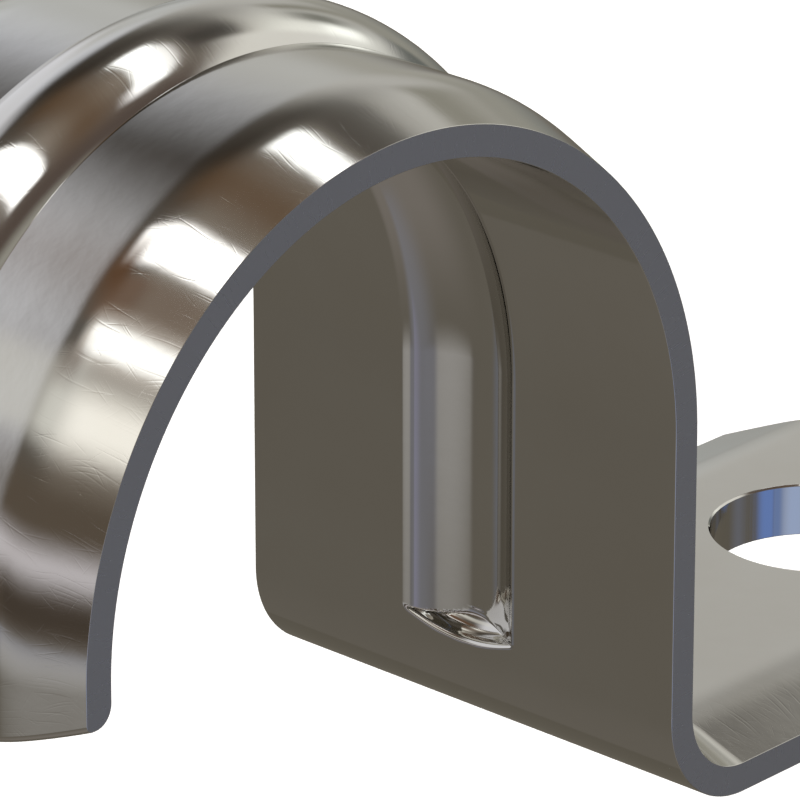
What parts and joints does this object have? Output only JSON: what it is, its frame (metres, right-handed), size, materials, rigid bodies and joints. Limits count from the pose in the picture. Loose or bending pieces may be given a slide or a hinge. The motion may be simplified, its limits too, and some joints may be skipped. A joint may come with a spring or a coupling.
{
  "type": "one-hole pipe strap",
  "caption": "Bent steel strap that hooks over a round pipe and is held down by one screw through its foot, with a pressed stiffening bead over the arch.",
  "frame": {"origin": "on the axis of the pipe that the strap holds, halfway across the strap", "axes": "+X from the pipe towards the foot, +Y along the pipe, +Z away from the wall that the foot is screwed to"},
  "size_m": [0.052, 0.0172, 0.0269],
  "materials": {
    "zinc_plated_steel": "bright zinc plate over pressed steel, with fine handling scratches"
  },
  "bodies": {
    "root": {"pipe_strap": "zinc_plated_steel"}
  },
  "joints": []
}
